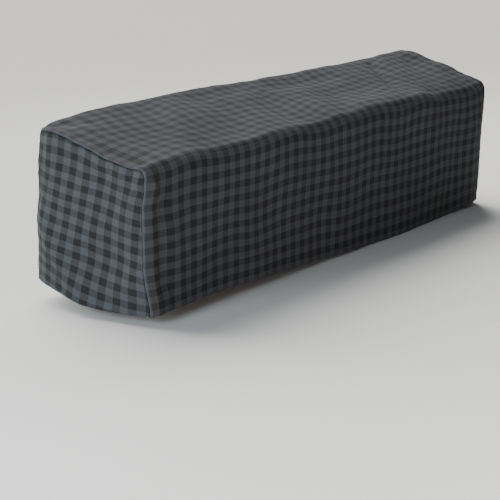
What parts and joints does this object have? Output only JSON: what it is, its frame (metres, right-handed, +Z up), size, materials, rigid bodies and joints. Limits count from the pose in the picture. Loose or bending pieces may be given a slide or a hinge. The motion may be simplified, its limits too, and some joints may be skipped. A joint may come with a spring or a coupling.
{
  "type": "piano keyboard cover",
  "caption": "Fitted cloth cover for a digital piano keyboard: a long strip over front, top and back, a panel sewn into each end, hollow and open below.",
  "frame": {"origin": "underside of the top at its middle, where the cover rests on the instrument", "axes": "+X along the keyboard to the player's right, +Y towards the back, +Z up"},
  "size_m": [1.3472, 0.3047, 0.3531],
  "materials": {
    "strip_cloth": "matt twill weave in a charcoal and grey check",
    "panel_cloth": "matt twill weave in a charcoal and grey check"
  },
  "bodies": {
    "root": {"main_strip": "strip_cloth", "end_panel_left": "panel_cloth", "end_panel_right": "panel_cloth"}
  },
  "joints": []
}
